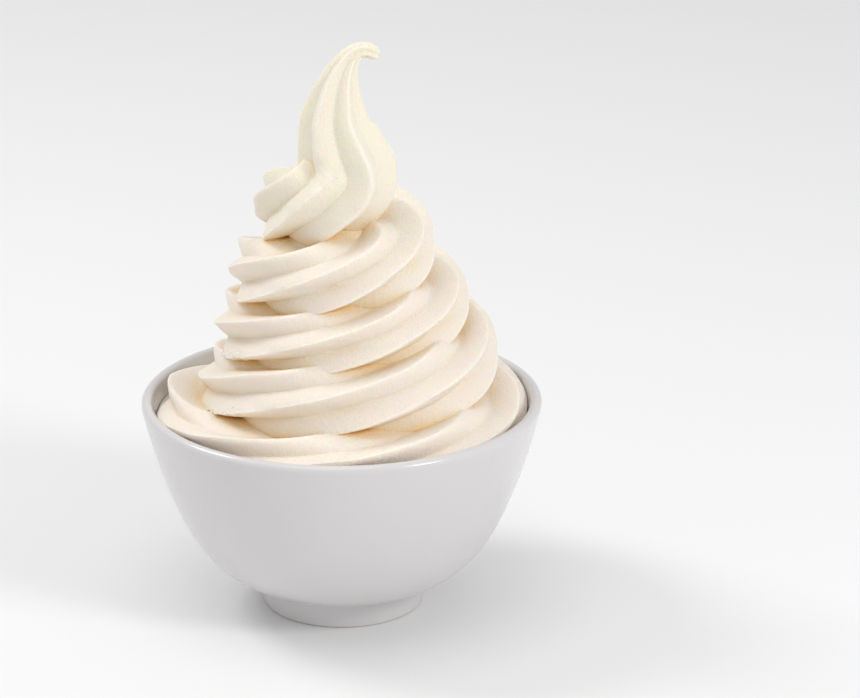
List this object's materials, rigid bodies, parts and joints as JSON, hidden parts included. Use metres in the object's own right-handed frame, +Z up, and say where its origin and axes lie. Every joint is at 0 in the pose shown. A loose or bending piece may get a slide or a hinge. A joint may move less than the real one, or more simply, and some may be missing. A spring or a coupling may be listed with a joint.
{
  "type": "bowl of frozen yogurt",
  "caption": "Small footed bowl filled with a tall soft-serve swirl of frozen yogurt that ends in a hooked tail.",
  "frame": {"origin": "middle of the foot's underside, at the centre of the bowl", "axes": "+Z up through the bowl's centre; the tail's tip hooks towards +X, and the side shown at the front faces -Y"},
  "size_m": [0.125, 0.125, 0.1824],
  "materials": {
    "glaze": null,
    "yogurt": null
  },
  "bodies": {
    "root": {"bowl": "glaze", "frozen_yogurt": "yogurt"}
  },
  "joints": []
}
